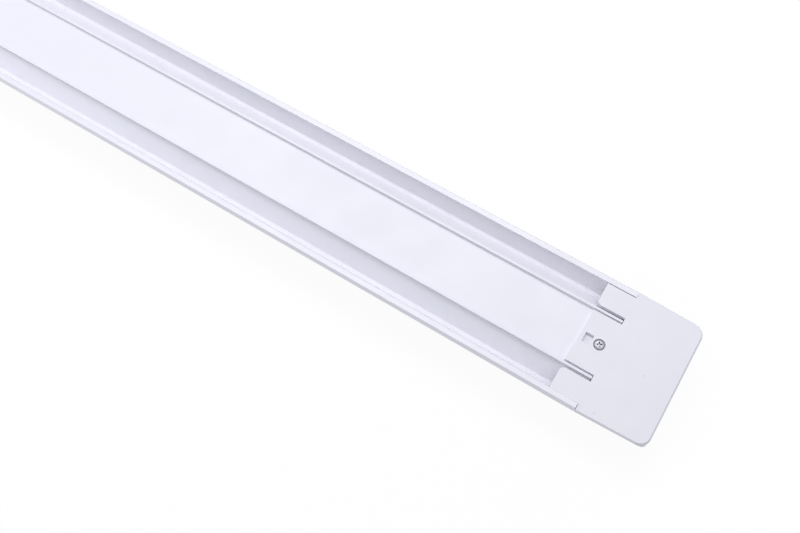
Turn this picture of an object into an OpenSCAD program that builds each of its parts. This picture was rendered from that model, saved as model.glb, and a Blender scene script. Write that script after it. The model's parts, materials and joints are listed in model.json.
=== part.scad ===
/* [Housing] */
// Length over both end caps
overall_l = 600; // [480:10:1200]
// Width over the chamfered edges, at the widest line
body_w = 75; // [72:0.5:80]
// Height from the diffuser's flat to the top of its lips
body_h = 26; // [25.5:0.5:32]
// Width of the flat along the bottom of the diffuser
bottom_flat_w = 16; // [10:1:20]
// Wall of the diffuser
diffuser_t = 1.4; // [1.2:0.1:1.6]

/* [Base profile] */
// Wall of the extruded base
base_t = 1.0; // [0.8:0.1:1.2]
// Width of the centre plate between the two ribs
plate_w = 33.8; // [32:0.2:36]
// Thickness of each rib
rib_t = 1.4; // [1.2:0.1:1.8]
// Depth of the centre plate below the face of the end caps
plate_drop = 2.0; // [1.8:0.1:2.4]
// Depth of the channel floor below the face of the end caps
channel_depth = 9.1; // [8.6:0.1:9.4]
// Width of the sloped side, from the rib to the channel floor
slope_run = 8.75; // [8:0.25:9.5]
// Width of the flat channel floor
valley_w = 2.35; // [2:0.05:2.6]

/* [Diffuser lips] */
// Width of the flat top of each lip
lip_w = 2.7; // [2.4:0.1:3]
// Thickness of each lip
lip_t = 1.0; // [0.9:0.1:1.2]
// Height of the lips above the face of the end caps
lip_proud = 0.6; // [0.4:0.1:0.8]
// Width of the chamfer outside each lip
edge_run = 1.4; // [1:0.1:1.6]
// Height of the chamfer outside each lip
edge_drop = 1.8; // [1.4:0.1:2]
// Distance of the locking stake mark from the right end of the lamp
stake_from_end = 327; // [120:1:400]

/* [End caps] */
// Length of a cap that shows beyond the profile
cap_l = 38.7; // [34:0.5:46]
// Length of the ears and the tongue inside the profile
insert_l = 16; // [15:0.5:20]
// Narrowing of each side of the cap towards its end
cap_taper = 1.1; // [0:0.1:2]
// Corner radius of the cap seen from the back
cap_corner_r = 6.3; // [4:0.1:9]
// Wall of the cap
cap_wall = 1.8; // [1.6:0.1:2.2]
// Width of the chamfer round the back of the cap
cap_edge_run = 0.9; // [0.5:0.1:1.2]
// Thickness of the ears
ear_t = 2.6; // [2:0.1:2.8]
// Gap between a rib and the tongue
tongue_gap = 1.0; // [0.8:0.1:1.4]
// Gap between a rib and an ear
ear_gap = 1.6; // [1.4:0.1:2]
// Radius of the rounded inner corner of each ear
ear_corner_r = 2.5; // [1:0.1:4]
// Step in the front edge of the tongue
tongue_step = 0.6; // [0.3:0.1:1]
// Distance of that step from the middle of the tongue
tongue_step_y = 7; // [3:0.5:12]
// Length of the window in the tongue
window_l = 4.5; // [4:0.1:5]
// Width of the window in the tongue
window_w = 5.8; // [4:0.1:8]
// Distance of the window's centre from the end of the profile
window_from_end = 11.25; // [10.5:0.05:11.5]
// Distance of the screw from the end of the profile
screw_from_end = 4.7; // [4.4:0.1:5]
// How far a loosened cap slides out, past the end of its ears
cap_travel = 20; // [17:1:40]

/* [Cap screw] */
// Radius of the pan head
head_r = 2.75; // [2.5:0.05:3]
// Height of the pan head
head_h = 1.6; // [1.4:0.1:1.8]
// Radius of the shank
shank_r = 1.4; // [1.2:0.05:1.5]
// Length of the shank under the head
shank_l = 6.6; // [6:0.1:7]

/* [Cable entry] */
// Radius of the grommet's bore, for a round supply cord
cord_r = 3.5; // [3:0.1:4]
// Distance of the cord from the middle of the lamp
cord_y = -14; // [-16:0.5:-12]

/* [LED board] */
// Width of the board
board_w = 50; // [48:0.5:50]
// Thickness of the board
board_t = 1.0; // [0.8:0.1:1.2]
// Depth of the board's top face below the centre plate
board_drop = 9.8; // [9.4:0.1:10]
// Distance between LEDs in a row
led_pitch = 19; // [16:0.5:24]
// Distance of each row from the middle of the board
led_row_y = 14; // [8:0.5:20]
// Length of an LED package
led_l = 3.5; // [3:0.1:5]
// Width of an LED package
led_w = 2.8; // [2.4:0.1:3.5]
// Height of an LED package
led_h = 0.8; // [0.6:0.1:1]

/* [Driver] */
// Length of the driver's circuit board
driver_l = 136; // [130:1:160]
// Width of the driver's circuit board
driver_w = 20; // [18:0.5:22]
// Thickness of the driver's circuit board
driver_board_t = 1.0; // [0.8:0.1:1.2]
// Height of the tallest pieces on the driver board
part_h = 5.8; // [5.4:0.1:6]

/* [Terminals] */
// Distance between the poles of the terminal block
pole_pitch = 6; // [5.6:0.1:6.2]
// Length of the terminal block along the lamp
block_l = 16; // [15:0.5:18]
// Height of the terminal block's housing
block_h = 7; // [6.6:0.1:7.2]
// Travel of the release buttons
button_travel = 1.0; // [0.6:0.1:1.2]
// Radius of an insulated wire
wire_r = 0.8; // [0.6:0.05:0.9]

/* [Hidden] */
$fn = 64;

// Clearances and cut margins
fit_gap = 0.15;
slide_gap = 0.3;
thin_gap = 0.05;
cut = 1;

// Levels above the surface that the diffuser rests on
lip_top = body_h;
face_z = lip_top - lip_proud;
plate_top = face_z - plate_drop;
plate_under = plate_top - base_t;
rib_top = face_z - 0.1;
valley_top = face_z - channel_depth;
valley_under = valley_top - base_t;
wide_z = lip_top - edge_drop;
lip_under = lip_top - lip_t;

// Distances from the middle plane
half_w = body_w / 2;
lip_out = half_w - edge_run;
lip_in = lip_out - lip_w;
rib_in = plate_w / 2;
rib_out = rib_in + rib_t;
valley_in = rib_out + slope_run;
valley_out = valley_in + valley_w;

// Diffuser arc: through the widest line and tangent points of the bottom flat
flat_half = bottom_flat_w / 2;
arc_z = (half_w * half_w + wide_z * wide_z - flat_half * flat_half) / (2 * wide_z);
arc_r = sqrt(flat_half * flat_half + arc_z * arc_z);
arc_fn = 360;

// Lengths
rail_l = overall_l - 2 * cap_l;
rail_end = rail_l / 2;

// Slope of the side, and its underside
slope_top = plate_top - 0.3;
slope_drop = slope_top - valley_top;
slope_len = sqrt(slope_run * slope_run + slope_drop * slope_drop);
slope_fall = slope_drop / slope_run;
slope_under_z = slope_top - base_t * slope_len / slope_run;
slope_under_y = rib_out + (slope_under_z - plate_under) / slope_fall;

// Outer wall of the channel, from the floor up to the foot that the diffuser holds
foot_top = lip_under - thin_gap;
foot_under = foot_top - base_t;
wall_top_y = lip_in + 0.3;
wall_rise = foot_top - valley_top;
wall_run = wall_top_y - valley_out;
wall_len = sqrt(wall_rise * wall_rise + wall_run * wall_run);
wall_lean = wall_run / wall_rise;
wall_back_y = valley_out + base_t * wall_len / wall_rise;
wall_back_low = wall_back_y - base_t * wall_lean;
wall_back_high = wall_back_y + (foot_under - valley_top) * wall_lean;
foot_out = lip_out - 0.7;

// Board slots under the channel floor
slot_gap = thin_gap;
board_top = plate_top - board_drop;
board_under = board_top - board_t;
slot_wall_in = board_w / 2 + 0.3;
slot_wall_t = 1.0;
slot_lip_w = 1.4;
slot_lip_t = 0.8;
slot_stop_w = 0.9;
slot_stop_y = slot_wall_in - slot_stop_w;
slot_stop_top = slope_under_z - (slot_stop_y - rib_out) * slope_fall;

// Cap
tongue_half = rib_in - tongue_gap;
ear_in = rib_out + ear_gap;
ear_out = lip_in - 0.25;
ear_under = face_z - ear_t;
shoulder_gap = 0.25;
tab_top = plate_under - 0.1;
tab_t = 1.4;
tab_half = 6;
boss_r = 3.2;
boss_l = 3.6;
tongue_under = plate_top + 0.05;
seat_depth = 1.2;
seat_r = head_r + 0.4;
seat_z = face_z - seat_depth;
hole_r = shank_r + 0.05;
spigot_t = 1.2;
spigot_l = 10;
spigot_top = board_under - slot_lip_t - 1.2;

// Driver
driver_mid = -rail_end + 95;
tray_t = 0.8;
tray_gap = 0.4;
tray_floor_top = board_top + tray_t;
driver_board_under = tray_floor_top + tray_gap;
driver_board_top = driver_board_under + driver_board_t;
driver_start = driver_mid - driver_l / 2;
driver_end = driver_mid + driver_l / 2;

// Places along the driver board: the fuse at the mains side, the rest counted from the LED side
fuse_x = driver_start + 16;
choke_x = driver_end - 107;
film_x = driver_end - 94;
bridge_x = driver_end - 83;
bulk_x = driver_end - 76;
chip_x = driver_end - 54;
core_x = driver_end - 38;
out_cap_x = driver_end - 24;
can_r = part_h / 2 - 0.1;

// Terminals
bracket_in = 13;
bracket_out = 28;
bracket_start = -rail_end - bracket_out;
bracket_end = -rail_end + bracket_in;
led_board_start = bracket_end + 1;
led_board_end = rail_end - 3;
led_count = floor((led_board_end - led_board_start - 14) / led_pitch) + 1;
led_first = (led_board_start + led_board_end - (led_count - 1) * led_pitch) / 2;
cup = 0.5;
connector_x = driver_end + 14;
connector_l = 8;
connector_w = 4.4;
led_wire_y = 1.1;
block_x = bracket_start + 1.5;
block_w = 3 * pole_pitch + 1;
block_mid = 15;
block_y = block_mid - block_w / 2;
block_top = board_top + block_h;
button_l = 4;
button_w = 3.6;
button_gap = 0.15;
button_head = button_travel + 0.2;
button_deep = 3;
button_mid_x = block_x + 9;
lug_x = -rail_end - 5;
lug_y = -9;
cord_z = board_top + cord_r + 0.2;
clamp_x = bracket_start + 4;
clamp_arch_t = 1.4;
clamp_head_r = 2.1;
clamp_screw_y = cord_r + clamp_arch_t + clamp_head_r + 0.4;
wire_z = board_top + wire_r + 0.1;
pin_z = driver_board_top + 0.1 + wire_r;
lead_l = 3;
lead_z = board_top + 1.6;
bend_l = 6;
bend_y = 2;
pad_l = 6;
pad_y = 3.2;
rise_l = 5;

// A prism of a flat shape drawn in width and height, laid along the lamp
module along(from, to) {
    translate([from, 0, 0])
    rotate([90, 0, 90])
    linear_extrude(height = to - from)
    children();
}

// A box by its lowest corner and its highest corner
module block(low, high) {
    translate(low)
    cube(high - low);
}

// A wire through a list of points, of straight runs that lap a little at each bend
module wire(points, r) {
    lap = 0.35 * r;
    last = len(points) - 1;
    for (i = [0 : last - 1]) {
        step = points[i + 1] - points[i];
        span = norm(step);
        before = i > 0 ? lap : 0;
        after = i < last - 1 ? lap : 0;
        translate(points[i])
        rotate([0, acos(step[2] / span), atan2(step[1], step[0])])
        translate([0, 0, -before])
        cylinder(r = r, h = span + before + after, $fn = 12);
    }
}

// Section of the base profile, its far side first
module base_section() {
    far = [
        [rib_in, plate_top],
        [rib_in, rib_top],
        [rib_out, rib_top],
        [rib_out, slope_top],
        [valley_in, valley_top],
        [valley_out, valley_top],
        [wall_top_y, foot_top],
        [foot_out, foot_top],
        [foot_out, foot_under],
        [wall_back_high, foot_under],
        [wall_back_low, valley_under],
        [slot_wall_in + slot_wall_t, valley_under],
        [slot_wall_in + slot_wall_t, board_under - slot_gap - slot_lip_t],
        [slot_wall_in - slot_lip_w, board_under - slot_gap - slot_lip_t],
        [slot_wall_in - slot_lip_w, board_under - slot_gap],
        [slot_wall_in, board_under - slot_gap],
        [slot_wall_in, board_top + slot_gap],
        [slot_stop_y, board_top + slot_gap],
        [slot_stop_y, slot_stop_top],
        [slope_under_y, plate_under]
    ];
    near = [for (i = [len(far) - 1 : -1 : 0]) [-far[i][0], far[i][1]]];
    polygon(concat(far, near));
}

module base_profile() {
    color("white")
    difference() {
        along(-rail_end, rail_end)
        base_section();
        for (side = [-1, 1]) {
            end_slot(side);
        }
    }
}

// Open slot in the end of the centre plate, for the cap screw
module end_slot(side) {
    slot_r = shank_r + 0.5;
    translate([side * (rail_end - screw_from_end), 0, plate_under - cut])
    cylinder(r = slot_r, h = base_t + 2 * cut);
    mirror([side < 0 ? 1 : 0, 0, 0])
    block([rail_end - screw_from_end, -slot_r, plate_under - cut],
          [rail_end + cut, slot_r, plate_top + cut]);
}

// The arc of the lamp's section up to a level, closed by the flat below it
module arc_section(inset, top) {
    intersection() {
        translate([0, arc_z])
        circle(r = arc_r - inset, $fn = arc_fn);
        translate([-half_w - 1, inset])
        square([body_w + 2, top - inset]);
    }
}

// Section of the lip, the chamfer and the ledge that hold the base's foot
module lip_section() {
    groove_y = foot_out + fit_gap;
    ledge_top = foot_under - thin_gap;
    ledge_in = wall_back_high + 0.25;
    polygon([
        [lip_in, lip_under],
        [lip_in, lip_top],
        [lip_out, lip_top],
        [half_w, wide_z],
        [half_w - 0.6, ledge_top - 0.9],
        [ledge_in, ledge_top - 0.6],
        [ledge_in, ledge_top],
        [groove_y, ledge_top],
        [groove_y, lip_under]
    ]);
}

module diffuser() {
    color("ghostwhite")
    difference() {
        union() {
            along(-rail_end, rail_end)
            difference() {
                arc_section(0, wide_z);
                arc_section(diffuser_t, wide_z + 1);
            }
            for (side = [0, 1]) {
                mirror([0, side, 0])
                along(-rail_end, rail_end)
                lip_section();
            }
        }
        stake_mark();
    }
}

// Small pressed mark that locks the near lip, and its hairline
module stake_mark() {
    stake_x = overall_l / 2 - stake_from_end;
    translate([stake_x, -lip_in, lip_top - 0.5])
    cylinder(r = 0.55, h = 1, $fn = 24);
    translate([stake_x + 1.1, -lip_in - 1.1, lip_top + 0.35])
    rotate([0, 0, 40])
    cube([0.35, 2.2, 1], center = true);
}

module led_board() {
    color("whitesmoke")
    difference() {
        block([led_board_start, -board_w / 2, board_under], [led_board_end, board_w / 2, board_top]);
        translate([connector_x, 0, board_under - cut])
        linear_extrude(height = board_t + 2 * cut)
        square([connector_l + 0.4, connector_w + 0.4], center = true);
    }
}

// Places of all the LEDs, under the board
module at_leds() {
    for (row = [-1, 1], i = [0 : led_count - 1]) {
        translate([led_first + i * led_pitch, row * led_row_y, board_under - led_h])
        children();
    }
}

module led_packages() {
    color("ivory")
    at_leds()
    difference() {
        translate([-led_l / 2, -led_w / 2, 0])
        cube([led_l, led_w, led_h]);
        translate([-led_l / 2 + cup, -led_w / 2 + cup, -cut])
        cube([led_l - 2 * cup, led_w - 2 * cup, cut + 0.4]);
    }
}

module led_phosphors() {
    color("gold")
    at_leds()
    translate([-led_l / 2 + cup, -led_w / 2 + cup, 0.05])
    cube([led_l - 2 * cup, led_w - 2 * cup, 0.35]);
}

// Housing that stands through the board, with two wire entries
module led_connector() {
    color("white")
    difference() {
        union() {
            block([connector_x - connector_l / 2, -connector_w / 2, board_under - 0.9],
                  [connector_x + connector_l / 2, connector_w / 2, board_top + 2.8]);
            block([connector_x - connector_l / 2 - 0.6, -connector_w / 2 - 0.6, board_top],
                  [connector_x + connector_l / 2, connector_w / 2 + 0.6, board_top + 0.8]);
        }
        for (side = [-1, 1]) {
            translate([connector_x - connector_l / 2 - cut, side * led_wire_y, board_top + 1.6])
            rotate([0, 90, 0])
            cylinder(r = wire_r + 0.1, h = 3 + cut, $fn = 24);
        }
    }
}

// Open tray that insulates the driver from the metal
module driver_tray() {
    out_half = driver_w / 2 + tray_t + 0.3;
    out_from = driver_start - tray_t - 0.3;
    out_to = driver_end + tray_t + 0.3;
    rim = driver_board_top + part_h;
    color("gainsboro")
    difference() {
        union() {
            difference() {
                block([out_from, -out_half, board_top], [out_to, out_half, rim]);
                block([out_from + tray_t, -out_half + tray_t, tray_floor_top],
                      [out_to - tray_t, out_half - tray_t, rim + cut]);
            }
            for (x = [driver_start + 3, driver_mid, driver_end - 3], side = [-1, 1]) {
                translate([x, side * (driver_w / 2 - 1.5), board_top])
                cylinder(r = 1.2, h = tray_t + tray_gap);
            }
        }
        for (x = [out_from - cut, out_to - tray_t - cut]) {
            block([x, -5, driver_board_top - 0.2], [x + tray_t + 2 * cut, 5, rim + cut]);
        }
    }
}

module driver_board() {
    color("darkgreen")
    block([driver_start, -driver_w / 2, driver_board_under],
          [driver_end, driver_w / 2, driver_board_top]);
}

module fuse() {
    color("tan")
    translate([fuse_x, 4, driver_board_top + 2])
    rotate([0, 90, 0])
    cylinder(r = 2, h = 8, center = true);
}

// Drum choke, a ferrite drum with a sunk waist
module input_choke() {
    color("dimgray")
    translate([choke_x, -3, driver_board_top])
    rotate_extrude()
    polygon([[0, 0], [4, 0], [4, 1], [3.2, 1], [3.2, part_h - 1.6], [4, part_h - 1.6], [4, part_h - 0.6],
             [0, part_h - 0.6]]);
}

module film_capacitor() {
    color("khaki")
    block([film_x - 3, -7, driver_board_top], [film_x + 2, 6, driver_board_top + part_h - 0.4]);
}

module bridge_rectifier() {
    color("black")
    block([bridge_x - 2.5, -3, driver_board_top], [bridge_x + 2.5, 3, driver_board_top + 2.4]);
}

module capacitor_can(x, y, l) {
    translate([x, y, driver_board_top + can_r])
    rotate([0, 90, 0])
    difference() {
        cylinder(r = can_r, h = l);
        translate([0, 0, 1.4])
        rotate_extrude()
        translate([can_r, 0])
        circle(r = 0.3, $fn = 24);
    }
}

module input_capacitors() {
    color("midnightblue")
    for (y = [-4.5, 4.5]) {
        capacitor_can(bulk_x, y, 15);
    }
}

module switching_chip() {
    color("black")
    block([chip_x - 2.5, -6, driver_board_top], [chip_x + 2.5, -2, driver_board_top + 1.5]);
}

// Ferrite frame lying flat, with a window on each side of its middle leg
module transformer_core() {
    color("dimgray")
    difference() {
        block([core_x - 7, -8, driver_board_top + 1.2], [core_x + 7, 8, driver_board_top + 4.6]);
        for (y = [-6.2, 2.2]) {
            block([core_x - 5, y, driver_board_top], [core_x + 5, y + 4, driver_board_top + part_h]);
        }
    }
}

// Winding round the middle leg
module transformer_winding() {
    color("goldenrod")
    difference() {
        block([core_x - 4.8, -6, driver_board_top], [core_x + 4.8, 6, driver_board_top + part_h - 0.2]);
        block([core_x - 6, -2.2, driver_board_top + 1.2], [core_x + 6, 2.2, driver_board_top + 4.6]);
    }
}

module output_capacitor() {
    color("midnightblue")
    capacitor_can(out_cap_x, -3, 14);
}

// Plate in the board slots that carries the terminals
module terminal_bracket() {
    color("silver")
    difference() {
        block([bracket_start, -board_w / 2, board_under], [bracket_end, board_w / 2, board_top]);
        for (side = [-1, 1]) {
            translate([clamp_x, cord_y + side * clamp_screw_y, board_under - cut])
            cylinder(r = 1.3, h = board_t + 2 * cut);
        }
        translate([lug_x, lug_y, board_under - cut])
        cylinder(r = 1.6, h = board_t + 2 * cut);
    }
}

// Middle of one pole of the terminal block: 0 live, 1 neutral, 2 earth
function pole_y(i) = block_mid + (1 - i) * pole_pitch;

module terminal_block() {
    well_low = block_top - button_deep - button_travel;
    color("white")
    difference() {
        block([block_x, block_y, board_top], [block_x + block_l, block_y + block_w, block_top]);
        for (i = [0 : 2]) {
            // Well of the release button
            block([button_mid_x - button_l / 2 - button_gap, pole_y(i) - button_w / 2 - button_gap,
                   well_low - 0.2],
                  [button_mid_x + button_l / 2 + button_gap, pole_y(i) + button_w / 2 + button_gap,
                   block_top + cut]);
            // Wire entries on both sides
            translate([block_x - cut, pole_y(i), board_top + 1.6])
            rotate([0, 90, 0])
            cylinder(r = 1.2, h = 4 + cut);
            translate([block_x + block_l - 4, pole_y(i), board_top + 1.6])
            rotate([0, 90, 0])
            cylinder(r = 1.2, h = 4 + cut);
            // Cell for the contact and the clamp spring
            block([block_x + 4, pole_y(i) - 2, board_top + 0.5],
                  [block_x + block_l - 4, pole_y(i) + 2, well_low]);
        }
    }
}

module terminal_contacts() {
    color("peru")
    for (i = [0 : 2]) {
        block([block_x + 4.2, pole_y(i) - 1.8, board_top + 0.5],
              [block_x + block_l - 4.2, pole_y(i) + 1.8, board_top + 0.9]);
    }
}

// Bent leaf springs that press the wires down on the contacts
module terminal_springs() {
    low = board_top + 0.9;
    color("lightsteelblue")
    for (i = [0 : 2]) {
        translate([0, pole_y(i) + 1.5, 0])
        rotate([90, 0, 0])
        linear_extrude(height = 3)
        polygon([
            [block_x + 4.6, low],
            [block_x + 7, low + 1.2],
            [block_x + block_l - 7, low + 1.2],
            [block_x + block_l - 4.6, low],
            [block_x + block_l - 4.6, low + 0.25],
            [block_x + block_l - 7, low + 1.45],
            [block_x + 7, low + 1.45],
            [block_x + 4.6, low + 0.25]
        ]);
    }
}

module release_button(i) {
    difference() {
        block([button_mid_x - button_l / 2, pole_y(i) - button_w / 2, block_top - button_deep],
              [button_mid_x + button_l / 2, pole_y(i) + button_w / 2, block_top + button_head]);
        // Screwdriver groove across the button
        block([button_mid_x - button_l / 2 - cut, pole_y(i) - 0.4, block_top + button_head - 0.6],
              [button_mid_x + button_l / 2 + cut, pole_y(i) + 0.4, block_top + button_head + cut]);
    }
}

module live_button() {
    color("orange")
    release_button(0);
}

module neutral_button() {
    color("orange")
    release_button(1);
}

module earth_button() {
    color("orange")
    release_button(2);
}

// Saddle that holds the supply cord down on the bracket
module cord_clamp() {
    arch_r = cord_r + 0.2;
    foot_half = clamp_screw_y + clamp_head_r + 0.3;
    color("white")
    translate([clamp_x, cord_y, 0])
    difference() {
        along(-2.5, 2.5)
        difference() {
            union() {
                translate([0, cord_z])
                circle(r = arch_r + clamp_arch_t);
                translate([-foot_half, board_top])
                square([2 * foot_half, 1.8]);
            }
            translate([0, cord_z])
            circle(r = arch_r);
            translate([-arch_r, board_top - 20])
            square([2 * arch_r, cord_z - board_top + 20]);
            translate([-20, board_top - 20])
            square([40, 20]);
        }
        for (side = [-1, 1]) {
            translate([0, side * clamp_screw_y, board_top - cut])
            cylinder(r = 1.3, h = 5);
        }
    }
}

module pan_screw(r, head, height, length) {
    recess = height * 0.55;
    difference() {
        union() {
            cylinder(r = r, h = length);
            translate([0, 0, length])
            cylinder(r1 = head, r2 = head * 0.82, h = height);
        }
        for (turn = [0, 90]) {
            rotate([0, 0, turn])
            translate([-head * 0.55, -0.35, length + height - recess])
            cube([head * 1.1, 0.7, recess + cut]);
        }
    }
}

module cord_clamp_screws() {
    color("silver")
    for (side = [-1, 1]) {
        translate([clamp_x, cord_y + side * clamp_screw_y, board_under - 1.5])
        pan_screw(1.2, clamp_head_r, 1.2, 1.5 + board_t + 1.8);
    }
}

module earth_lug() {
    color("silver")
    difference() {
        union() {
            translate([lug_x, lug_y, board_top])
            cylinder(r = 3, h = 0.6);
            block([lug_x, lug_y - 1.5, board_top], [lug_x + 6, lug_y + 1.5, board_top + 0.6]);
            translate([lug_x + 4.5, lug_y, board_top + 1.1])
            rotate([0, 90, 0])
            cylinder(r = 1.1, h = 3.5);
        }
        translate([lug_x, lug_y, board_top - cut])
        cylinder(r = 1.6, h = 3);
        translate([lug_x + 6, lug_y, board_top + 1.1])
        rotate([0, 90, 0])
        cylinder(r = wire_r + 0.02, h = 3);
    }
}

module earth_screw() {
    color("silver")
    translate([lug_x, lug_y, board_under - 2.6])
    pan_screw(1.5, 2.6, 1.4, 2.6 + board_t + 0.6);
}

module earth_nut() {
    color("silver")
    translate([lug_x, lug_y, board_under - 2.2])
    difference() {
        cylinder(r = 2.8, h = 2.2, $fn = 6);
        translate([0, 0, -cut])
        cylinder(r = 1.55, h = 2.2 + 2 * cut);
    }
}

module wire_live() {
    start = block_x + block_l;
    color("saddlebrown")
    wire([[start - lead_l, pole_y(0), lead_z], [start + lead_l, pole_y(0), lead_z],
          [start + lead_l + bend_l, pole_y(0) - bend_y, wire_z],
          [driver_start - pad_l - rise_l, pole_y(1) - pole_pitch, wire_z],
          [driver_start - pad_l, pad_y, pin_z], [driver_start + pad_l, pad_y, pin_z]], wire_r);
}

module wire_neutral() {
    start = block_x + block_l;
    color("royalblue")
    wire([[start - lead_l, pole_y(1), lead_z], [start + lead_l, pole_y(1), lead_z],
          [start + lead_l + bend_l, pole_y(1) - bend_y, wire_z],
          [driver_start - pad_l - rise_l, bend_y, wire_z],
          [driver_start - pad_l, -pad_y, pin_z], [driver_start + pad_l, -pad_y, pin_z]], wire_r);
}

module wire_earth() {
    start = block_x + block_l;
    barrel_x = lug_x + 6.2;
    color("yellowgreen")
    wire([[start - lead_l, pole_y(2), lead_z], [start + lead_l, pole_y(2), lead_z],
          [start + lead_l + bend_l, pole_y(2) - 2.5 * bend_y, wire_z],
          [barrel_x + bend_l, lug_y + 2.5 * bend_y, wire_z],
          [barrel_x + bend_l, lug_y, board_top + 1.1], [barrel_x, lug_y, board_top + 1.1]], wire_r);
}

module led_wire(side) {
    entry_x = connector_x - connector_l / 2;
    y = side * led_wire_y;
    wire([[driver_end - 5, y, pin_z], [driver_end + 2, y, pin_z], [entry_x - 3, y, board_top + 1.6],
          [entry_x + 2.8, y, board_top + 1.6]], wire_r);
}

module wire_led_positive() {
    color("red")
    led_wire(1);
}

module wire_led_negative() {
    color("black")
    led_wire(-1);
}

// Section of the cap that is right on the far side and reaches past the near side
module cap_side_section(inset) {
    arc_y = sqrt((arc_r - inset) * (arc_r - inset) - (arc_z - wide_z) * (arc_z - wide_z));
    union() {
        intersection() {
            translate([0, arc_z])
            circle(r = arc_r - inset, $fn = arc_fn);
            translate([0, inset])
            square([half_w + 1, wide_z - inset]);
        }
        polygon([
            [-body_w, inset],
            [4, inset],
            [4, wide_z - 1],
            [arc_y - 4, wide_z - 1],
            [arc_y, wide_z],
            [half_w - cap_edge_run - inset, face_z - inset],
            [-body_w, face_z - inset]
        ]);
    }
}

// The section laid along one side of the cap, turned in by the taper
module cap_side(inset) {
    translate([shoulder_gap, half_w, 0])
    rotate([0, 0, -atan(cap_taper / cap_l)])
    translate([0, -half_w, 0])
    along(-5, cap_l + 10)
    cap_side_section(inset);
}

// Outside of the cap: both tapered sides, closed by the end wall and its chamfers
module cap_outside() {
    edge_h = face_z - wide_z;
    difference() {
        intersection() {
            cap_side(0);
            mirror([0, 1, 0])
            cap_side(0);
            translate([0, body_w, 0])
            rotate([90, 0, 0])
            linear_extrude(height = 2 * body_w)
            polygon([
                [shoulder_gap, -5],
                [cap_l - 4.5, -5],
                [cap_l, 2.5],
                [cap_l, wide_z],
                [cap_l - 4 * cap_edge_run, wide_z + 4 * edge_h],
                [shoulder_gap, wide_z + 4 * edge_h]
            ]);
        }
        for (side = [0, 1]) {
            mirror([0, side, 0])
            cap_corner();
        }
    }
}

// What the rounded corner and its chamfer leave off the cap
module cap_corner() {
    edge_h = face_z - wide_z;
    corner_x = cap_l - cap_corner_r;
    corner_y = half_w - cap_taper * corner_x / cap_l - cap_corner_r;
    difference() {
        block([corner_x, corner_y, -cut], [cap_l + 5, half_w + 5, face_z + cut]);
        translate([corner_x, corner_y, 0])
        rotate_extrude()
        polygon([
            [0, -2 * cut],
            [cap_corner_r, -2 * cut],
            [cap_corner_r, wide_z],
            [cap_corner_r - 3 * cap_edge_run, wide_z + 3 * edge_h],
            [0, wide_z + 3 * edge_h]
        ]);
    }
}

// Hollow of the cap, with cut corners behind the rounded ones
module cap_hollow() {
    end_x = cap_l - cap_wall;
    end_y = half_w - cap_taper - cap_wall;
    leg = 3.2;
    intersection() {
        cap_side(cap_wall);
        mirror([0, 1, 0])
        cap_side(cap_wall);
        linear_extrude(height = body_h)
        polygon([
            [-1, -body_w],
            [end_x - leg - body_w + end_y, -body_w],
            [end_x - leg, -end_y],
            [end_x, -end_y + leg],
            [end_x, end_y - leg],
            [end_x - leg, end_y],
            [end_x - leg - body_w + end_y, body_w],
            [-1, body_w]
        ]);
    }
}

// One ear: it fills the top of a side channel
module ear() {
    side_low = valley_out + (ear_under - valley_top) * wall_lean - 0.5;
    difference() {
        along(-insert_l, cap_wall + 2)
        polygon([
            [ear_in, ear_under],
            [side_low, ear_under],
            [ear_out, lip_under - 0.6],
            [ear_out, face_z],
            [ear_in, face_z]
        ]);
        translate([0, 0, ear_under - cut])
        linear_extrude(height = ear_t + 2 * cut)
        difference() {
            translate([-insert_l - 1, ear_in - 1])
            square([ear_corner_r + 1, ear_corner_r + 1]);
            translate([-insert_l + ear_corner_r, ear_in + ear_corner_r])
            circle(r = ear_corner_r);
        }
    }
}

// Tongue on the centre plate, with a stepped front edge
module tongue() {
    translate([0, 0, tongue_under])
    linear_extrude(height = face_z - tongue_under)
    polygon([
        [-insert_l + tongue_step / 2, tongue_half],
        [cap_wall + 2, tongue_half],
        [cap_wall + 2, -tongue_half],
        [-insert_l - tongue_step / 2, -tongue_half],
        [-insert_l - tongue_step / 2, -tongue_step_y - tongue_step],
        [-insert_l + tongue_step / 2, -tongue_step_y]
    ]);
}

// Clamp tab under the centre plate, with the boss that the screw bites into
module clamp_tab() {
    tab_l = screw_from_end + boss_r + 0.6;
    block([-tab_l, -tab_half, tab_top - tab_t], [shoulder_gap + 2, tab_half, tab_top]);
    block([shoulder_gap, -tab_half, tab_top - tab_t], [shoulder_gap + 2, tab_half, face_z - 0.5]);
    translate([-screw_from_end, 0, tab_top - tab_t - boss_l])
    cylinder(r = boss_r, h = boss_l + 0.5);
}

// Thin collar of the cap inside the end of the diffuser
module spigot() {
    out_inset = diffuser_t + slide_gap;
    along(-spigot_l, cap_wall + 1)
    difference() {
        arc_section(out_inset, spigot_top);
        arc_section(out_inset + spigot_t, spigot_top + 1);
    }
}

// A cap drawn with the profile's end at zero, closing towards +X
module cap_body() {
    difference() {
        union() {
            difference() {
                cap_outside();
                cap_hollow();
            }
            ear();
            mirror([0, 1, 0])
            ear();
            tongue();
            clamp_tab();
            spigot();
        }
        translate([-screw_from_end, 0, plate_under - 20])
        cylinder(r = hole_r, h = 40);
        translate([-screw_from_end, 0, seat_z])
        cylinder(r = seat_r, h = 10);
        block([-window_from_end - window_l / 2, -window_w / 2, tongue_under - cut],
              [-window_from_end + window_l / 2, window_w / 2, face_z + cut]);
    }
}

module end_cap_right() {
    color("white")
    translate([rail_end, 0, 0])
    cap_body();
}

module end_cap_left() {
    color("white")
    difference() {
        mirror([1, 0, 0])
        translate([rail_end, 0, 0])
        cap_body();
        translate([-overall_l / 2 - cut, cord_y, cord_z])
        rotate([0, 90, 0])
        cylinder(r = cord_r + 1.5, h = cap_wall + 2 * cut);
    }
}

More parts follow.
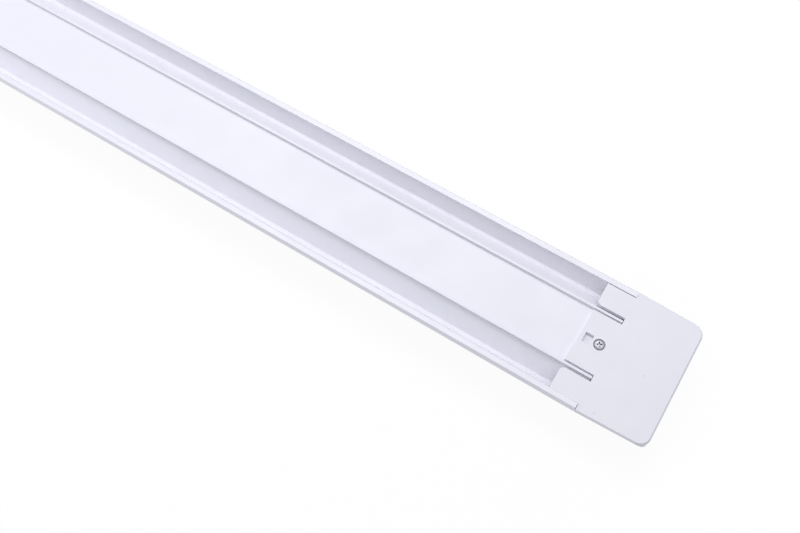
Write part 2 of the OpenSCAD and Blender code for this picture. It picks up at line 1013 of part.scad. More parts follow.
// Rubber ring in the end wall of the left cap
module cable_grommet() {
    color("darkgray")
    translate([-overall_l / 2, cord_y, cord_z])
    rotate([0, 90, 0])
    rotate_extrude()
    polygon([
        [cord_r, 0],
        [cord_r + 1.4, 0],
        [cord_r + 1.4, cap_wall + 0.1],
        [cord_r + 2.6, cap_wall + 0.1],
        [cord_r + 2.6, cap_wall + 1.3],
        [cord_r + 1.2, cap_wall + 3.5],
        [cord_r, cap_wall + 3.5]
    ]);
}

module cap_screw() {
    recess = 0.9;
    translate([-screw_from_end, 0, seat_z - shank_l])
    difference() {
        union() {
            cylinder(r = shank_r, h = shank_l + 0.1);
            translate([0, 0, shank_l + thin_gap])
            cylinder(r = head_r, h = head_h * 0.5);
            translate([0, 0, shank_l + thin_gap + head_h * 0.5])
            cylinder(r1 = head_r, r2 = head_r * 0.7, h = head_h * 0.5);
        }
        for (turn = [30, 120]) {
            rotate([0, 0, turn])
            translate([-1.6, -0.4, shank_l + thin_gap + head_h - recess])
            cube([3.2, 0.8, recess + cut]);
        }
    }
}

module cap_screw_right() {
    color("silver")
    translate([rail_end, 0, 0])
    cap_screw();
}

module cap_screw_left() {
    color("silver")
    mirror([1, 0, 0])
    translate([rail_end, 0, 0])
    cap_screw();
}

base_profile();
diffuser();
led_board();
led_packages();
led_phosphors();
led_connector();
driver_tray();
driver_board();
transformer_core();
transformer_winding();
input_capacitors();
output_capacitor();
film_capacitor();
input_choke();
bridge_rectifier();
switching_chip();
fuse();
terminal_bracket();
terminal_block();
terminal_springs();
terminal_contacts();
live_button();
neutral_button();
earth_button();
cord_clamp();
cord_clamp_screws();
earth_lug();
earth_screw();
earth_nut();
wire_live();
wire_neutral();
wire_earth();
wire_led_positive();
wire_led_negative();
end_cap_right();
cap_screw_right();
end_cap_left();
cap_screw_left();
cable_grommet();
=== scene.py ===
"""Finished look of a slim LED batten lamp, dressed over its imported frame, lying on its diffuser."""

import json
import logging
import math
from dataclasses import dataclass
from enum import Enum
from functools import cache

import bmesh
import bpy
from mathutils import Matrix, Vector

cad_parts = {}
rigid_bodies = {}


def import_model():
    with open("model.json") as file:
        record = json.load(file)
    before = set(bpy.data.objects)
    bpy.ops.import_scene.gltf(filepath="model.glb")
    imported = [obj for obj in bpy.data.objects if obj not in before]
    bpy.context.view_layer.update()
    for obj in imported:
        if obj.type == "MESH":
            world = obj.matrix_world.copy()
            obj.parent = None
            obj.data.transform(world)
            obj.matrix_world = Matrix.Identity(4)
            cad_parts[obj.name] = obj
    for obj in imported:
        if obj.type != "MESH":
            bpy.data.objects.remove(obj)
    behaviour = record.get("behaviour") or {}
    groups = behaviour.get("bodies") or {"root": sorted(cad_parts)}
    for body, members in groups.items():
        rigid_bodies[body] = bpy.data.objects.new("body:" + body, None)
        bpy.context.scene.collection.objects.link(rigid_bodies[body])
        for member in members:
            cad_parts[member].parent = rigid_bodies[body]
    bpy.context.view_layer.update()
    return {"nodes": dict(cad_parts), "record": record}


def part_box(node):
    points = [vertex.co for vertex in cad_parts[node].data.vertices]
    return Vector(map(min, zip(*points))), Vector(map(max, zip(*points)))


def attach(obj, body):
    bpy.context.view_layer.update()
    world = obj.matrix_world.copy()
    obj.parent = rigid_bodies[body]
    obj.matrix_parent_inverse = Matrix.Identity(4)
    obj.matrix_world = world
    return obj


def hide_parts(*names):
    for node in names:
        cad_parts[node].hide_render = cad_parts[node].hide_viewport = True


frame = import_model()

BMesh = bmesh.types.BMesh
Vert = bmesh.types.BMVert
Edge = bmesh.types.BMEdge
Node = bpy.types.Node
Tree = bpy.types.NodeTree
Socket = bpy.types.NodeSocket
Material = bpy.types.Material
Object = bpy.types.Object
Color = tuple[float, float, float]
Point = tuple[float, float, float]
MM = 0.001
MICRON = 0.000001

log = logging.getLogger("batten")


class Grain(Enum):
    """The small relief that a finish has."""

    COATED = "powder coat"
    EXTRUDED = "drawn lines"
    MOULDED = "moulded grain"
    BRUSHED = "brushed metal"
    CAST = "cast grain"


class Tracks(Enum):
    """How the copper lies under a board's mask."""

    POURS = "areas of any shape"
    LANDS = "one land for each LED"


class Side(Enum):
    """The two ends of the lamp."""

    RIGHT = 1
    LEFT = -1


@dataclass(frozen=True)
class Finish:
    """One surface finish: its two colours, its gloss, and the relief that breaks them up.

    The relief's features are size millimetres wide and depth thousandths of a millimetre deep.
    """

    name: str
    color: Color
    shade: Color
    roughness: float
    grain: Grain
    size: float
    depth: float
    drift: float = 0.05
    metallic: float = 0.0
    coat: float = 0.0
    scatter: float = 0.0
    dust: float = 0.25

    def toned(self, tone: float, lift: float = 0.0) -> Color:
        """Gives the colour times a tone, and then a little more."""
        return tuple(tone * part + lift for part in self.color)


@dataclass(frozen=True)
class Layer:
    """One noise of a relief: its weight, its density as a share of the grain's, and its octaves.

    A length below 1 draws the features out along the lamp.
    """

    weight: float
    density: float
    detail: float
    rough: float
    length: float = 1.0


RELIEFS = {
    Grain.COATED: (
        Layer(0.25, 0.45, 1.0, 0.4),
        Layer(0.3, 0.22, 1.0, 0.5),
        Layer(0.6, 1.2, 2.0, 0.6, 0.004),
    ),
    Grain.EXTRUDED: (Layer(0.8, 1.0, 3.0, 0.6, 0.01), Layer(0.2, 1.6, 1.0, 0.5)),
    Grain.MOULDED: (Layer(0.7, 1.0, 3.0, 0.6), Layer(0.9, 0.05, 1.0, 0.5)),
    Grain.BRUSHED: (Layer(1.0, 1.0, 4.0, 0.65, 0.04),),
    Grain.CAST: (Layer(1.0, 1.0, 4.0, 0.7),),
}


class Graph:
    """Adds nodes to one tree and wires them, so that a recipe reads from its input to its output."""

    def __init__(self, tree: Tree) -> None:
        """Starts an empty tree.

        Args:
            tree: the material's or the group's node tree.
        """
        self.tree = tree
        self.tree.nodes.clear()
        self.column = 0

    def node(self, kind: str, inputs: dict[str | int, object] | None = None, **settings: object) -> Node:
        """Adds one node and feeds its inputs.

        Args:
            kind: the node's type name.
            inputs: an output socket, a number or a tuple for each input, by its name or place.
            settings: its properties by name.

        Returns:
            The new node.
        """
        made = self.tree.nodes.new(kind)
        for name, value in settings.items():
            setattr(made, name, value)
        for key, value in (inputs or {}).items():
            if isinstance(value, Socket):
                self.tree.links.new(value, made.inputs[key])
            else:
                made.inputs[key].default_value = value
        made.location = (self.column * 190, -(self.column % 3) * 160)
        self.column += 1
        return made

    def math(self, operation: str, a: object, b: object = 0.0, clamp: bool = False) -> Socket:
        """Works out one operation on two values, held between 0 and 1 where that is asked for."""
        return self.node("ShaderNodeMath", {0: a, 1: b}, operation=operation, use_clamp=clamp).outputs[0]

    def times(self, a: object, b: object) -> Socket:
        """Multiplies two values."""
        return self.math("MULTIPLY", a, b)

    def plus(self, a: object, b: object) -> Socket:
        """Adds two values."""
        return self.math("ADD", a, b)

    def spread(self, value: object, low: float, high: float, to_low: float = 0.0,
               to_high: float = 1.0) -> Socket:
        """Maps a range of a value, from low to high, on another range, held at its ends."""
        inputs = dict(enumerate((value, low, high, to_low, to_high)))
        return self.node("ShaderNodeMapRange", inputs, clamp=True).outputs[0]

    def mix(self, factor: object, a: object, b: object) -> Socket:
        """Mixes two colours, sockets or three numbers each, by the share of the second."""
        first, second = (c if isinstance(c, Socket) else (*c, 1.0) for c in (a, b))
        return self.node("ShaderNodeMix", {0: factor, 6: first, 7: second}, data_type="RGBA").outputs[2]

    def noise(self, vector: object, scale: object, detail: float = 2.0, rough: float = 0.5) -> Socket:
        """Gives the value of a noise with so many features for each metre."""
        inputs = {"Vector": vector, "Scale": scale, "Detail": detail, "Roughness": rough}
        return self.node("ShaderNodeTexNoise", inputs).outputs[0]

    def stretch(self, vector: object, scale: Point = (1.0, 1.0, 1.0),
                place: Point = (0.0, 0.0, 0.0)) -> Socket:
        """Moves and stretches coordinates.

        Args:
            vector: the coordinates.
            scale: factor on each axis.
            place: the point that becomes the pattern's middle.

        Returns:
            The new coordinates.
        """
        moved = tuple(-p * s for p, s in zip(place, scale))
        inputs = {"Vector": vector, "Location": moved, "Scale": scale}
        return self.node("ShaderNodeMapping", inputs, vector_type="POINT").outputs[0]

    def distance(self, vector: object) -> Socket:
        """Gives how far coordinates are from their middle."""
        return self.node("ShaderNodeVectorMath", {0: vector}, operation="LENGTH").outputs[1]

    def across(self, vector: object) -> Socket:
        """Gives the second part of coordinates."""
        return self.node("ShaderNodeSeparateXYZ", {0: vector}).outputs[1]

    def group(self, tree: Tree, vector: Socket, size: float) -> Node:
        """Places a group that reads coordinates and a length."""
        return self.node("ShaderNodeGroup", {0: vector, 1: size}, node_tree=tree)

    def backdrop_rays(self) -> Socket:
        """Finds the rays that show the background: straight, mirrored and through glass.

        Returns:
            1 for those rays and 0 for the others.
        """
        path = self.node("ShaderNodeLightPath").outputs
        seen = self.math("MAXIMUM", path["Is Camera Ray"], path["Is Glossy Ray"])
        return self.math("MAXIMUM", seen, path["Is Transmission Ray"])


class SurfaceEffects:
    """The reliefs and marks that several materials share, each a node group built once."""

    def _begin(self, name: str, size: str, outputs: tuple[str, ...]) -> tuple[Graph, Socket, Socket]:
        """Opens a new group with its sockets.

        Args:
            name: the group's name.
            size: name of its number input, which is a length.
            outputs: names of the number outputs.

        Returns:
            The graph, and the coordinates and the length that the group is given.
        """
        tree = bpy.data.node_groups.new(name, "ShaderNodeTree")
        add = tree.interface.new_socket
        add("Vector", in_out="INPUT", socket_type="NodeSocketVector")
        add(size, in_out="INPUT", socket_type="NodeSocketFloat")
        for label in outputs:
            add(label, in_out="OUTPUT", socket_type="NodeSocketFloat")
        graph = Graph(tree)
        given = graph.node("NodeGroupInput").outputs
        return graph, given["Vector"], given[size]

    @cache
    def relief(self, grain: Grain) -> Tree:
        """Gives the relief group of a grain.

        Args:
            grain: which relief.

        Returns:
            A group with Height and Shade outputs.
        """
        graph, vector, size = self._begin(f"relief_{grain.name.lower()}", "Size", ("Height", "Shade"))
        density = graph.math("DIVIDE", 1.0, size)
        height = 0.0
        for layer in RELIEFS[grain]:
            drawn = graph.stretch(vector, (layer.length, 1.0, 1.0)) if layer.length < 1.0 else vector
            noise = graph.noise(drawn, graph.times(density, layer.density), layer.detail, layer.rough)
            height = graph.plus(height, graph.times(noise, layer.weight))
        if grain is Grain.CAST:
            height = graph.times(height, graph.noise(vector, graph.times(density, 0.3), 1.0, 0.5))
        broad = graph.times(graph.noise(vector, 14.0, 2.0, 0.5), 0.55)
        local = graph.times(graph.noise(vector, graph.times(density, 0.06), 2.0, 0.5), 0.45)
        shade = graph.spread(graph.plus(broad, local), 0.35, 0.65)
        graph.node("NodeGroupOutput", {"Height": height, "Shade": shade})
        return graph.tree

    @cache
    def dust(self) -> Tree:
        """Gives the dust group: a few tiny flecks, far apart.

        Returns:
            A group with a Mask output.
        """
        rare, fleck = 0.62, 0.012
        graph, vector, spacing = self._begin("dust", "Spacing", ("Mask",))
        inputs = {"Vector": vector, "Scale": graph.math("DIVIDE", 1.0, spacing)}
        cells = graph.node("ShaderNodeTexVoronoi", inputs).outputs
        chance = graph.node("ShaderNodeSeparateColor", {0: cells["Color"]}).outputs
        picked = graph.math("GREATER_THAN", chance[0], rare)
        size = graph.times(graph.spread(chance[1], 0.0, 1.0, 0.4, 1.5), fleck)
        near = graph.math("LESS_THAN", cells["Distance"], size)
        graph.node("NodeGroupOutput", {"Mask": graph.times(near, picked)})
        return graph.tree

    @cache
    def fleck(self) -> Tree:
        """Gives the fleck group: a soft round mark at the middle of its coordinates, for specks and
        painted dent shade.

        Returns:
            A group with a Mask output.
        """
        graph, vector, radius = self._begin("fleck", "Radius", ("Mask",))
        wobble = graph.times(graph.noise(vector, 2600.0, 2.0, 0.6), 0.3 * MM)
        far = graph.math("SUBTRACT", graph.plus(graph.distance(vector), wobble), radius)
        graph.node("NodeGroupOutput", {"Mask": graph.spread(far, -0.05 * MM, 0.25 * MM, 1.0, 0.0)})
        return graph.tree

    @cache
    def scuffs(self) -> Tree:
        """Gives the scuff group: faint rubbed streaks that are a little duller.

        Returns:
            A group with a Mask output.
        """
        graph, vector, size = self._begin("scuffs", "Size", ("Mask",))
        drawn = graph.stretch(vector, (0.12, 1.0, 1.0))
        streaks = graph.noise(drawn, graph.math("DIVIDE", 1.0, size), 3.0, 0.7)
        areas = graph.noise(vector, 22.0, 1.0, 0.5)
        mask = graph.times(graph.spread(streaks, 0.58, 0.72), graph.spread(areas, 0.5, 0.62))
        graph.node("NodeGroupOutput", {"Mask": mask})
        return graph.tree


def metal(name: str, color: Color, shade: Color, roughness: float, size: float, depth: float,
          **more: float) -> Finish:
    """Describes a bare brushed metal; the arguments are those of a finish."""
    return Finish(name, color, shade, roughness, Grain.BRUSHED, size, depth, metallic=1.0, **more)


def plastic(name: str, color: Color, shade: Color, roughness: float, size: float, depth: float,
            **more: float) -> Finish:
    """Describes a moulded material; the arguments are those of a finish."""
    return Finish(name, color, shade, roughness, Grain.MOULDED, size, depth, **more)


def insulation(color_name: str, color: Color, shade: Color, roughness: float = 0.36) -> Finish:
    """Describes the soft coat of a wire; the arguments are those of a finish."""
    return plastic(f"{color_name} insulation", color, shade, roughness, 0.5, 5.0)


WHITE_COAT = Finish("white powder coat", (0.820, 0.820, 0.877), (0.805, 0.805, 0.862), 0.40,
                    Grain.COATED, 1.1, 6.0)
OPAL = Finish("opal cover", (0.830, 0.830, 0.888), (0.815, 0.815, 0.873), 0.34,
              Grain.EXTRUDED, 0.8, 4.0, scatter=0.06)
MASK_WHITE = Finish("white board mask", (0.82, 0.82, 0.80), (0.78, 0.78, 0.75), 0.38,
                    Grain.COATED, 0.6, 3.0, coat=0.2)
GREEN = Finish("green board mask", (0.015, 0.110, 0.045), (0.020, 0.150, 0.062), 0.28,
               Grain.COATED, 0.5, 4.0, coat=0.4)
PHOSPHOR = Finish("phosphor gel", (0.86, 0.62, 0.08), (0.74, 0.46, 0.05), 0.30,
                  Grain.CAST, 0.2, 6.0, coat=0.5, scatter=0.1)
FERRITE = Finish("sintered ferrite", (0.035, 0.035, 0.040), (0.055, 0.053, 0.055), 0.55,
                 Grain.CAST, 0.4, 20.0)
EPOXY = Finish("black epoxy", (0.016, 0.016, 0.018), (0.028, 0.028, 0.030), 0.50,
               Grain.CAST, 0.3, 10.0)
SOLDER = Finish("solder", (0.66, 0.66, 0.67), (0.54, 0.54, 0.56), 0.22,
                Grain.CAST, 0.4, 8.0, drift=0.12, metallic=1.0, dust=0.0)
TAPE = Finish("winding tape", (0.78, 0.52, 0.04), (0.68, 0.43, 0.03), 0.30,
              Grain.EXTRUDED, 0.6, 10.0, coat=0.3)
SLEEVE = Finish("heat shrink sleeve", (0.012, 0.020, 0.075), (0.018, 0.028, 0.095), 0.24,
                Grain.EXTRUDED, 0.7, 8.0, coat=0.3)
CAP_WHITE = plastic("moulded white", (0.812, 0.812, 0.868), (0.797, 0.797, 0.853), 0.44, 0.6, 8.0)
RUBBER = plastic("grey rubber", (0.46, 0.47, 0.50), (0.40, 0.41, 0.44), 0.62, 0.4, 10.0)
LED_WHITE = plastic("reflector cup", (0.84, 0.82, 0.74), (0.78, 0.76, 0.66), 0.42, 0.2, 2.0)
TRAY = plastic("tray plastic", (0.58, 0.59, 0.61), (0.53, 0.54, 0.56), 0.48, 0.6, 8.0)
FILM = plastic("film case", (0.72, 0.50, 0.06), (0.66, 0.44, 0.05), 0.34, 0.5, 6.0)
CERAMIC = plastic("fuse ceramic", (0.62, 0.50, 0.30), (0.56, 0.44, 0.25), 0.28, 0.5, 6.0, coat=0.4)
NYLON = plastic("white nylon", (0.76, 0.76, 0.77), (0.72, 0.72, 0.72), 0.42, 0.5, 7.0)
ORANGE = plastic("orange nylon", (0.82, 0.20, 0.015), (0.74, 0.17, 0.012), 0.36, 0.5, 7.0)
ZINC = metal("bright zinc plate", (0.46, 0.47, 0.50), (0.36, 0.37, 0.40), 0.42, 0.4, 3.0,
             drift=0.12, dust=0.1)
COPPER = metal("enamelled copper", (0.62, 0.22, 0.07), (0.50, 0.16, 0.05), 0.30, 0.4, 4.0,
               drift=0.08, coat=0.5, dust=0.0)
ALUMINIUM = metal("drawn aluminium", (0.66, 0.67, 0.69), (0.56, 0.57, 0.60), 0.32, 0.5, 4.0,
                  drift=0.1, dust=0.1)
SPRING = metal("spring steel", (0.56, 0.57, 0.60), (0.44, 0.45, 0.48), 0.24, 0.3, 3.0, drift=0.1, dust=0.0)
BRASS = metal("contact brass", (0.78, 0.56, 0.24), (0.66, 0.45, 0.18), 0.26, 0.3, 3.0, drift=0.1, dust=0.0)
BROWN_PVC = insulation("brown", (0.115, 0.040, 0.018), (0.095, 0.032, 0.014))
BLUE_PVC = insulation("blue", (0.012, 0.080, 0.420), (0.010, 0.066, 0.360))
EARTH_PVC = insulation("green and yellow", (0.030, 0.270, 0.040), (0.024, 0.230, 0.032))
RED_PVC = insulation("red", (0.480, 0.014, 0.012), (0.420, 0.012, 0.010))
BLACK_PVC = insulation("black", (0.014, 0.014, 0.015), (0.020, 0.020, 0.021), 0.38)


@dataclass(frozen=True)
class Finishes:
    """Makes a material from each finish, once."""

    effects: SurfaceEffects
    fleck_radius: float = 0.45 * MM
    fleck_share: float = 0.7
    fleck_tone: float = 0.72
    # how strong and how dark the painted shade lines along the base are
    line_shade_share: float = 0.10
    line_shade_tone: float = 0.55
    dust_spacing: float = 16 * MM
    dust_tone: float = 0.55
    dust_lift: float = 0.08
    scuff_size: float = 5.0
    scuff_dulling: float = 0.08
    track_height: float = 2.5
    coat_roughness: float = 0.15

    @cache
    def get(self, finish: Finish, marks: tuple[Point, ...] = (), lines: tuple[float, ...] = (),
            stripe: Color | None = None, tracks: Tracks | None = None,
            gap: Color | None = None) -> Material:
        """Gives the material of a finish.

        Args:
            finish: the finish.
            marks: places of single dark flecks: specks, and on the cover the painted shade of a dent.
            lines: distance from the middle of each fine dark line painted along the lamp as shade.
            stripe: second colour of an insulation that has two.
            tracks: how the copper under a board's mask lies.
            gap: colour of the mask between the tracks.

        Returns:
            The material.
        """
        material = bpy.data.materials.new(finish.name + (" marked" if marks else ""))
        material.use_nodes = True
        graph = Graph(material.node_tree)
        vector = graph.node("ShaderNodeTexCoord").outputs["Object"]
        size = finish.size * MM
        relief = graph.group(self.effects.relief(finish.grain), vector, size).outputs
        scuffs = graph.group(self.effects.scuffs(), vector, size * self.scuff_size).outputs
        color = graph.mix(relief["Shade"], finish.color, finish.shade)
        height = relief["Height"]
        if stripe is not None:
            color = graph.mix(self._stripe(graph), color, stripe)
        if tracks is not None and gap is not None:
            copper = self._tracks(graph, vector, tracks)
            color = graph.mix(copper, gap, color)
            height = graph.plus(height, graph.times(copper, self.track_height))
        # fine dark lines along the lamp: painted shade
        for place in lines:
            painted_line_shade = graph.times(self._shade_line(graph, vector, place), self.line_shade_share)
            color = graph.mix(painted_line_shade, color, finish.toned(self.line_shade_tone))
        if finish.dust > 0.0:
            dust = graph.group(self.effects.dust(), vector, self.dust_spacing).outputs
            grey = finish.toned(self.dust_tone, self.dust_lift)
            color = graph.mix(graph.times(dust["Mask"], finish.dust), color, grey)
        # single dark flecks: specks, and the painted shade of a dent on the cover
        for place in marks:
            centred = graph.stretch(vector, place=place)
            spot = graph.group(self.effects.fleck(), centred, self.fleck_radius).outputs
            share = graph.times(spot["Mask"], self.fleck_share)
            color = graph.mix(share, color, finish.toned(self.fleck_tone))
        low, high = finish.roughness - finish.drift, finish.roughness + finish.drift
        rough = graph.spread(relief["Shade"], 0.0, 1.0, low, high)
        rough = graph.math("ADD", rough, graph.times(scuffs["Mask"], self.scuff_dulling), clamp=True)
        bump = graph.node("ShaderNodeBump", {"Distance": finish.depth * MICRON, "Height": height})
        inputs = {
            "Base Color": color,
            "Roughness": rough,
            "Normal": bump.outputs[0],
            "Metallic": finish.metallic,
            "Coat Weight": finish.coat,
            "Coat Roughness": self.coat_roughness,
        }
        if finish.scatter > 0.0:
            inputs["Subsurface Weight"] = finish.scatter
            inputs["Subsurface Radius"] = (1.0, 1.0, 1.0)
            inputs["Subsurface Scale"] = MM
        shader = graph.node("ShaderNodeBsdfPrincipled", inputs)
        graph.node("ShaderNodeOutputMaterial", {"Surface": shader.outputs[0]})
        material.diffuse_color = (*finish.color, 1.0)
        return material

    def _stripe(self, graph: Graph) -> Socket:
        """Gives the mask of two stripes along an insulation, from the piece's own unwrapping."""
        around = graph.across(graph.node("ShaderNodeUVMap").outputs[0])
        return graph.math("GREATER_THAN", graph.math("FRACT", graph.times(around, 2.0)), 0.5)

    def _shade_line(self, graph: Graph, vector: Socket, place: float) -> Socket:
        """Gives the mask of one fine line of painted shade along the lamp, at a distance from its middle.
        """
        away = graph.math("ABSOLUTE", graph.math("SUBTRACT", graph.across(vector), place))
        return graph.spread(away, 0.1 * MM, 0.5 * MM, 1.0, 0.0)

    def _tracks(self, graph: Graph, vector: Socket, kind: Tracks) -> Socket:
        """Gives the mask of the tracks under a board's mask.

        Args:
            graph: the material's graph.
            vector: Object coordinates.
            kind: how the copper lies.

        Returns:
            The mask.
        """
        if kind is Tracks.POURS:
            inputs = {"Vector": graph.stretch(vector, (0.55, 1.0, 0.0)), "Scale": 170.0}
            cells = graph.node("ShaderNodeTexVoronoi", inputs, feature="DISTANCE_TO_EDGE")
            return graph.spread(cells.outputs["Distance"], 0.035, 0.045)
        inputs = {
            "Vector": graph.stretch(vector, (1.0, 1.0, 0.0), (15 * MM, 0.0, 0.0)),
            "Scale": 1.0,
            "Mortar Size": 0.4 * MM,
            "Mortar Smooth": 0.1,
            "Brick Width": 19 * MM,
            "Row Height": 26 * MM,
        }
        grid = graph.node("ShaderNodeTexBrick", inputs, offset=0.0, squash=1.0)
        return graph.math("SUBTRACT", 1.0, grid.outputs["Fac"])


def put_in_scene(name: str, bm: BMesh) -> Object:
    """Turns a bmesh into an object in the scene.

    Args:
        name: name of the object and its mesh.
        bm: the shape, which is freed.

    Returns:
        The object.
    """
    mesh = bpy.data.meshes.new(name)
    bm.to_mesh(mesh)
    bm.free()
    made = bpy.data.objects.new(name, mesh)
    bpy.context.scene.collection.objects.link(made)
    return made


class Bench:
    """Makes meshes and fits finished pieces to the frame."""

    def __init__(self) -> None:
        """Reads which body and which slot each node has."""
        record = frame["record"]
        self.body = {n: b for b, nodes in record["behaviour"]["bodies"].items() for n in nodes}
        self.slot = {s["node"]: s["material_slot"] for s in record["subparts"]}

    def piece(self, name: str, bm: BMesh, material: Material, smooth: float = 32.0) -> Object:
        """Turns a bmesh into an object with one material.

        Args:
            name: the piece's name.
            bm: the shape, which is freed.
            material: its material.
            smooth: edges sharper than this many degrees stay sharp.

        Returns:
            The object.
        """
        made = put_in_scene(name, bm)
        made.data.materials.append(material)
        made.data.shade_smooth()
        made.data.set_sharp_from_angle(angle=math.radians(smooth))
        return made

    def copy(self, node: str) -> BMesh:
        """Copies a node's mesh with its doubles merged and its flat faces joined.

        Args:
            node: the CAD node.

        Returns:
            The shape.
        """
        bm = bmesh.new()
        bm.from_mesh(frame["nodes"][node].data)
        bmesh.ops.remove_doubles(bm, verts=bm.verts, dist=2e-6)
        bmesh.ops.dissolve_limit(bm, angle_limit=math.radians(0.6), verts=bm.verts, edges=bm.edges)
        return bm

    def soften(self, piece: Object, width: float, segments: int = 2) -> Object:
        """Rounds the edges of a piece a little.

        Args:
            piece: the object.
            width: width of the rounding in millimetres.
            segments: faces across it.

        Returns:
            The same object.
        """
        edge = piece.modifiers.new("edge_rounding", "BEVEL")
        edge.width = width * MM
        edge.segments = segments
        edge.profile = 0.5
        edge.limit_method = "ANGLE"
        edge.angle_limit = math.radians(30.0)
        edge.use_clamp_overlap = True
        edge.harden_normals = False
        edge.material = -1
        even = piece.modifiers.new("even_shading", "WEIGHTED_NORMAL")
        even.mode = "FACE_AREA"
        even.weight = 80
        even.keep_sharp = True
        return piece

    def fit(self, piece: Object, node: str) -> Object:
        """Puts a piece in the place of a CAD node.

        Args:
            piece: the finished piece.
            node: the node that it stands for.

        Returns:
            The same object.
        """
        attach(piece, self.body[node])
        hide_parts(node)
        return piece

    def add(self, piece: Object, like: str) -> Object:
        """Adds a small piece that rides with a CAD node.

        Args:
            piece: the finished piece.
            like: the node that it goes with.

        Returns:
            The same object.
        """
        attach(piece, self.body[like])
        return piece


def box(bm: BMesh, corner: Point, opposite: Point) -> None:
    """Adds a box between two opposite corners, given in any order.

    Args:
        bm: the shape to add to.
        corner: one corner.
        opposite: the corner farthest from it.
    """
    low, high = (Vector(map(end, corner, opposite)) for end in (min, max))
    place = Matrix.Translation((low + high) / 2) @ Matrix.Diagonal((*(high - low), 1.0))
    bmesh.ops.create_cube(bm, size=1.0, matrix=place)


def rod(bm: BMesh, start: Point, end: Point, start_r: float, end_r: float, sides: int = 20) -> None:
    """Adds a round rod or a cone between two points.

    Args:
        bm: the shape to add to.
        start: middle of its first end.
        end: middle of its other end.
        start_r: radius at the start.
        end_r: radius at the end.
        sides: faces round it.
    """
    start, end = Vector(start), Vector(end)
    run = end - start
    place = Matrix.Translation((start + end) / 2) @ run.to_track_quat("Z", "Y").to_matrix().to_4x4()
    bmesh.ops.create_cone(bm, cap_ends=True, segments=sides, radius1=start_r, radius2=end_r,
                          depth=run.length, matrix=place)


def lathe(profile: list[tuple[float, float]], centre: Point, steps: int = 48) -> BMesh:
    """Spins a profile of radius and height round an upright axis.

    Args:
        profile: radius and height of each point, from one end to the other.
        centre: the point on the axis that is height zero.
        steps: faces round it.

    Returns:
        The closed shape, facing outwards.
    """
    bm = bmesh.new()
    verts = [bm.verts.new((r, 0.0, h)) for r, h in profile]
    edges = [bm.edges.new(pair) for pair in zip(verts, verts[1:])]
    bmesh.ops.spin(bm, geom=verts + edges, cent=(0, 0, 0), axis=(0, 0, 1), angle=2 * math.pi,
                   steps=steps, use_merge=True)
    bmesh.ops.remove_doubles(bm, verts=bm.verts, dist=1e-7)
    bmesh.ops.recalc_face_normals(bm, faces=bm.faces)
    bmesh.ops.transform(bm, matrix=Matrix.Translation(Vector(centre)), verts=bm.verts)
    return bm


def rounded_route(points: list[Point], radius: float, steps: int = 6) -> list[Vector]:
    """Rounds the corners of a route of straight runs.

    Args:
        points: the route's corners.
        radius: how far from a corner its rounding starts.
        steps: points on each rounding.

    Returns:
        The points of the smooth route.
    """
    corners = [Vector(p) for p in points]
    route = [corners[0]]
    for before, here, after in zip(corners, corners[1:], corners[2:]):
        back = before - here
        on = after - here
        reach = min(radius, back.length * 0.45, on.length * 0.45)
        start = here + back.normalized() * reach
        end = here + on.normalized() * reach
        for i in range(steps + 1):
            t = i / steps
            route.append(start.lerp(here, t).lerp(here.lerp(end, t), t))
    route.append(corners[-1])
    return route


def tube(bm: BMesh, route: list[Vector], radius: float, sides: int = 14) -> None:
    """Sweeps a round section along a route and unwraps it, with the length in one direction.

    Args:
        bm: the shape to add to.
        route: the points of its middle line.
        radius: its radius.
        sides: faces round it.
    """
    unwrap = bm.loops.layers.uv.verify()
    up = Vector((0.0, 0.0, 1.0))
    marks: dict[Vert, tuple[float, int]] = {}
    done = 0.0
    edges: list[Edge] = []
    for i, here in enumerate(route):
        ahead = (route[min(i + 1, len(route) - 1)] - route[max(i - 1, 0)]).normalized()
        side = ahead.cross(up).normalized()
        turn = Matrix((side, ahead.cross(side).normalized(), ahead)).transposed().to_4x4()
        place = Matrix.Translation(here) @ turn
        if i == 0:
            ring = bmesh.ops.create_circle(bm, cap_ends=True, segments=sides, radius=radius,
                                           matrix=place)["verts"]
            edges = list({e for v in ring for e in v.link_edges})
            marks.update({v: (0.0, k) for k, v in enumerate(ring)})
        else:
            done += (here - route[i - 1]).length
            grown = bmesh.ops.extrude_edge_only(bm, edges=edges)["geom"]
            ring = [g for g in grown if isinstance(g, Vert)]
            edges = [g for g in grown if isinstance(g, Edge) and g.is_boundary]
            for v in ring:
                below = next(e.other_vert(v) for e in v.link_edges if e.other_vert(v) in marks)
                marks[v] = (done, marks[below][1])
            bmesh.ops.transform(bm, matrix=place @ last.inverted(), verts=ring)
        last = place
    bmesh.ops.edgeloop_fill(bm, edges=edges)
    for face in {f for v in marks for f in v.link_faces if len(f.verts) == 4}:
        turns = [marks[loop.vert][1] for loop in face.loops]
        over = max(turns) - min(turns) > 1
        for loop in face.loops:
            along, k = marks[loop.vert]
            loop[unwrap].uv = (along * 100.0, (k + (sides if over and k == 0 else 0)) / sides)
    bmesh.ops.recalc_face_normals(bm, faces=list({f for v in marks for f in v.link_faces}))


@dataclass
class Section:
    """A sub-assembly of the lamp that is built and dressed together."""

    bench: Bench
    finishes: Finishes

    def dress(self, node: str, finish: Finish, edge: float, segments: int = 2, **looks: object) -> Object:
        """Stands a softened copy in the place of a node.

        Args:
            node: the CAD node.
            finish: the copy's finish.
            edge: width of its edge rounding in millimetres.
            segments: faces across the rounding.
            looks: what else the material takes.

        Returns:
            The copy.
        """
        material = self.finishes.get(finish, **looks)
        made = self.bench.piece(f"{node}_finished", self.bench.copy(node), material)
        return self.bench.fit(self.bench.soften(made, edge, segments), node)

    def add(self, name: str, bm: BMesh, finish: Finish, like: str, smooth: float = 32.0) -> Object:
        """Adds a small piece that the CAD model doesn't have, which rides with a node of it."""
        return self.bench.add(self.bench.piece(name, bm, self.finishes.get(finish), smooth), like)


